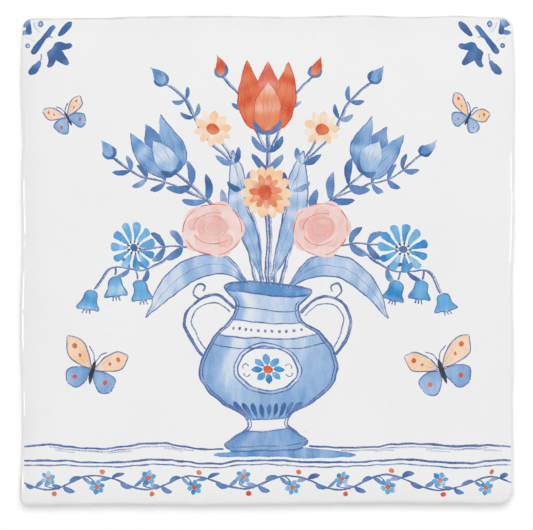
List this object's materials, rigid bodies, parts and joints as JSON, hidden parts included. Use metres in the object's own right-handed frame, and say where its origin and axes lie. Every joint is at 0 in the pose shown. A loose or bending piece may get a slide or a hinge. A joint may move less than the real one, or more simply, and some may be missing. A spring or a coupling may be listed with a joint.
{
  "type": "decorative ceramic tile",
  "caption": "Square glazed ceramic wall tile with a wavy hand-cut rim, rolled edges, rounded corners, a painted face and a back keyed with grooves for bedding.",
  "frame": {"origin": "middle of the bedding face, on the surface that the tile lies on", "axes": "+Z out of the glazed face, +Y towards the top of the picture, +X to its right"},
  "size_m": [0.15, 0.1485, 0.008],
  "materials": {
    "white_glaze": "glossy white tin-style glaze with a blue painted picture on the face; bare buff biscuit on the back"
  },
  "bodies": {
    "root": {"tile": "white_glaze"}
  },
  "joints": []
}
